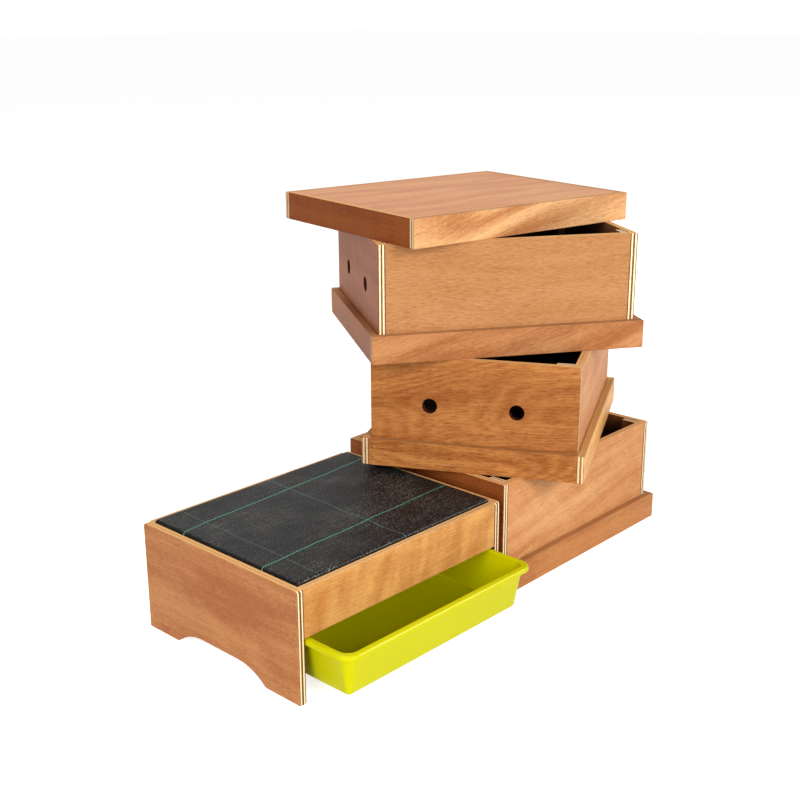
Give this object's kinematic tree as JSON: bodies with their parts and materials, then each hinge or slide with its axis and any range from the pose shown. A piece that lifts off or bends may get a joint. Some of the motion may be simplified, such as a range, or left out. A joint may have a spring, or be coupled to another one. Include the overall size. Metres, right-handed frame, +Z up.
{
  "type": "wormery",
  "caption": "Stacking plywood wormery: worm trays with telescoping skirts, a lid, and a base with a drain cover and a pull-out drip tray.",
  "frame": {"origin": "on the ground, in the middle of the room that base and stack take together", "axes": "+X along the long side of the base towards the stack, +Y from the side where the drip tray comes out to the back, +Z up"},
  "size_m": [0.7941, 0.4853, 0.511],
  "materials": {
    "tray_plywood": "oiled okoume plywood",
    "base_plywood": "oiled okoume plywood",
    "lid_plywood": "oiled okoume plywood",
    "lime_plastic": "moulded polypropylene",
    "ground_cover": "woven polypropylene tape"
  },
  "bodies": {
    "base": {"base_left_end": "base_plywood", "base_right_end": "base_plywood", "base_front_rail": "base_plywood", "base_back_panel": "base_plywood", "base_left_runner": "base_plywood", "base_right_runner": "base_plywood", "base_front_ledge": "base_plywood", "base_back_ledge": "base_plywood", "drain_board": "base_plywood", "drain_cover": "ground_cover"},
    "drip_tray": {"drip_tray": "lime_plastic"},
    "lower_tray": {"lower_tray_left_end": "tray_plywood", "lower_tray_right_end": "tray_plywood", "lower_tray_front_side": "tray_plywood", "lower_tray_back_side": "tray_plywood", "lower_tray_corner_strips": "tray_plywood", "lower_tray_floor_slats": "tray_plywood", "lower_tray_front_skirt": "tray_plywood", "lower_tray_back_skirt": "tray_plywood", "lower_tray_left_skirt": "tray_plywood", "lower_tray_right_skirt": "tray_plywood"},
    "middle_tray": {"middle_tray_left_end": "tray_plywood", "middle_tray_right_end": "tray_plywood", "middle_tray_front_side": "tray_plywood", "middle_tray_back_side": "tray_plywood", "middle_tray_corner_strips": "tray_plywood", "middle_tray_floor_slats": "tray_plywood", "middle_tray_front_skirt": "tray_plywood", "middle_tray_back_skirt": "tray_plywood", "middle_tray_left_skirt": "tray_plywood", "middle_tray_right_skirt": "tray_plywood"},
    "upper_tray": {"upper_tray_left_end": "tray_plywood", "upper_tray_right_end": "tray_plywood", "upper_tray_front_side": "tray_plywood", "upper_tray_back_side": "tray_plywood", "upper_tray_corner_strips": "tray_plywood", "upper_tray_floor_slats": "tray_plywood", "upper_tray_front_skirt": "tray_plywood", "upper_tray_back_skirt": "tray_plywood", "upper_tray_left_skirt": "tray_plywood", "upper_tray_right_skirt": "tray_plywood"},
    "lid": {"lid_panel": "lid_plywood", "lid_front_skirt": "lid_plywood", "lid_back_skirt": "lid_plywood", "lid_left_skirt": "lid_plywood", "lid_right_skirt": "lid_plywood"}
  },
  "joints": [
    {"name": "drip_tray_slide", "type": "slide", "parent": "base", "child": "drip_tray", "axis": [0, -1, 0], "range_m": [-0.0685, 0.21]},
    {"name": "lower_tray_lift", "type": "slide", "parent": "base", "child": "lower_tray", "axis": [0, 0, 1], "range_m": [0, 0.15]},
    {"name": "middle_tray_lift", "type": "slide", "parent": "lower_tray", "child": "middle_tray", "axis": [0, 0, 1], "range_m": [0, 0.15]},
    {"name": "upper_tray_lift", "type": "slide", "parent": "middle_tray", "child": "upper_tray", "axis": [0, 0, 1], "range_m": [0, 0.15]},
    {"name": "lid_lift", "type": "slide", "parent": "upper_tray", "child": "lid", "axis": [0, 0, 1], "range_m": [0, 0.15]}
  ]
}
